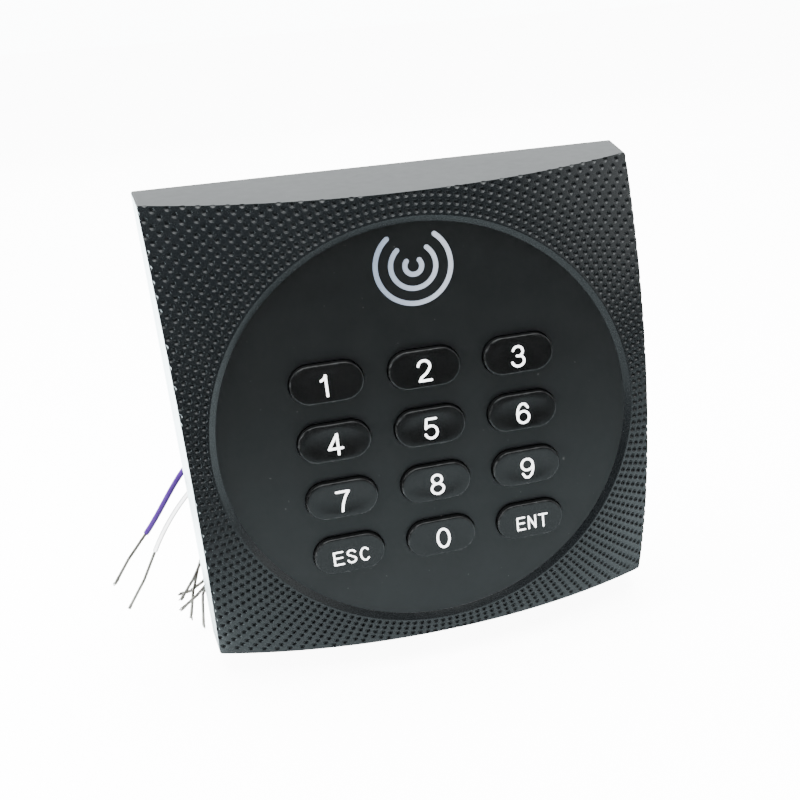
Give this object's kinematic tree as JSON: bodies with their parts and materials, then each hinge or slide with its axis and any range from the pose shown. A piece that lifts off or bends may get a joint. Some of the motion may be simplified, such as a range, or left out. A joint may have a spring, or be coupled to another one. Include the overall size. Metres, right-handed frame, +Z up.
{
  "type": "keypad access reader",
  "caption": "Square wall reader with a domed dimpled front, a sunken disc of sprung oval number keys, an arc-shaped status window and a wired pigtail.",
  "frame": {"origin": "midway between the two wall screw holes, on the plane of the wall", "axes": "+Z up, the keys face -Y, the wall is on the +Y side, +X is right for a person facing the keys"},
  "size_m": [0.1446, 0.0441, 0.1251],
  "materials": {
    "cover_plastic": "fine satin, charcoal",
    "key_plastic": "smooth, near black",
    "light_guide_plastic": "frosted, pale blue-grey",
    "silicone": "matt",
    "carbon_rubber": "matt",
    "board_laminate": "green solder mask",
    "gold_plate": "plated",
    "lamp_resin": "clear yellow-white",
    "coil_copper": "enamelled copper",
    "chip_resin": "moulded resin",
    "tinned_metal": "tinned, dull",
    "can_metal": "drawn can",
    "buzzer_plastic": "smooth",
    "chip_ceramic": "ceramic",
    "nylon": "natural nylon",
    "jacket_vinyl": "satin vinyl",
    "back_plastic": "fine texture",
    "plate_steel": "zinc plated",
    "screw_steel": "zinc plated",
    "insulation_violet": "vinyl",
    "insulation_white": "vinyl",
    "insulation_red": "vinyl",
    "insulation_green": "vinyl",
    "insulation_blue": "vinyl",
    "insulation_yellow": "vinyl",
    "insulation_black": "vinyl"
  },
  "bodies": {
    "housing": {"front_cover": "cover_plastic", "light_guide": "light_guide_plastic", "keypad_mat": "silicone", "main_board": "board_laminate", "key_contacts": "gold_plate", "status_leds": "lamp_resin", "antenna_coil": "coil_copper", "microcontroller": "chip_resin", "radio_chip": "chip_resin", "chip_leads": "tinned_metal", "crystal": "can_metal", "filter_capacitor": "can_metal", "buzzer": "buzzer_plastic", "voltage_regulator": "chip_resin", "small_parts": "chip_ceramic", "wire_header": "nylon", "wire_plug": "nylon", "cable_jacket": "jacket_vinyl", "cable_grommet": "silicone", "bare_wire_ends": "tinned_metal", "cover_gasket": "silicone", "back_cover": "back_plastic", "wall_plate": "plate_steel", "back_cover_screws": "screw_steel", "board_screws": "screw_steel", "lock_screw": "screw_steel", "wire_violet": "insulation_violet", "wire_white": "insulation_white", "wire_red": "insulation_red", "wire_green": "insulation_green", "wire_blue": "insulation_blue", "wire_yellow": "insulation_yellow", "wire_black": "insulation_black"},
    "button_1": {"key_1": "key_plastic", "pill_1": "carbon_rubber"},
    "button_2": {"key_2": "key_plastic", "pill_2": "carbon_rubber"},
    "button_3": {"key_3": "key_plastic", "pill_3": "carbon_rubber"},
    "button_4": {"key_4": "key_plastic", "pill_4": "carbon_rubber"},
    "button_5": {"key_5": "key_plastic", "pill_5": "carbon_rubber"},
    "button_6": {"key_6": "key_plastic", "pill_6": "carbon_rubber"},
    "button_7": {"key_7": "key_plastic", "pill_7": "carbon_rubber"},
    "button_8": {"key_8": "key_plastic", "pill_8": "carbon_rubber"},
    "button_9": {"key_9": "key_plastic", "pill_9": "carbon_rubber"},
    "button_esc": {"key_esc": "key_plastic", "pill_esc": "carbon_rubber"},
    "button_0": {"key_0": "key_plastic", "pill_0": "carbon_rubber"},
    "button_ent": {"key_ent": "key_plastic", "pill_ent": "carbon_rubber"}
  },
  "joints": [
    {"name": "press_1", "type": "slide", "parent": "housing", "child": "button_1", "axis": [0, 1, 0], "range_m": [0, 0.0011], "stiffness_N_per_m": 900, "springref_m": -0.0006},
    {"name": "press_2", "type": "slide", "parent": "housing", "child": "button_2", "axis": [0, 1, 0], "range_m": [0, 0.0011], "stiffness_N_per_m": 900, "springref_m": -0.0006},
    {"name": "press_3", "type": "slide", "parent": "housing", "child": "button_3", "axis": [0, 1, 0], "range_m": [0, 0.0011], "stiffness_N_per_m": 900, "springref_m": -0.0006},
    {"name": "press_4", "type": "slide", "parent": "housing", "child": "button_4", "axis": [0, 1, 0], "range_m": [0, 0.0011], "stiffness_N_per_m": 900, "springref_m": -0.0006},
    {"name": "press_5", "type": "slide", "parent": "housing", "child": "button_5", "axis": [0, 1, 0], "range_m": [0, 0.0011], "stiffness_N_per_m": 900, "springref_m": -0.0006},
    {"name": "press_6", "type": "slide", "parent": "housing", "child": "button_6", "axis": [0, 1, 0], "range_m": [0, 0.0011], "stiffness_N_per_m": 900, "springref_m": -0.0006},
    {"name": "press_7", "type": "slide", "parent": "housing", "child": "button_7", "axis": [0, 1, 0], "range_m": [0, 0.0011], "stiffness_N_per_m": 900, "springref_m": -0.0006},
    {"name": "press_8", "type": "slide", "parent": "housing", "child": "button_8", "axis": [0, 1, 0], "range_m": [0, 0.0011], "stiffness_N_per_m": 900, "springref_m": -0.0006},
    {"name": "press_9", "type": "slide", "parent": "housing", "child": "button_9", "axis": [0, 1, 0], "range_m": [0, 0.0011], "stiffness_N_per_m": 900, "springref_m": -0.0006},
    {"name": "press_esc", "type": "slide", "parent": "housing", "child": "button_esc", "axis": [0, 1, 0], "range_m": [0, 0.0011], "stiffness_N_per_m": 900, "springref_m": -0.0006},
    {"name": "press_0", "type": "slide", "parent": "housing", "child": "button_0", "axis": [0, 1, 0], "range_m": [0, 0.0011], "stiffness_N_per_m": 900, "springref_m": -0.0006},
    {"name": "press_ent", "type": "slide", "parent": "housing", "child": "button_ent", "axis": [0, 1, 0], "range_m": [0, 0.0011], "stiffness_N_per_m": 900, "springref_m": -0.0006}
  ]
}
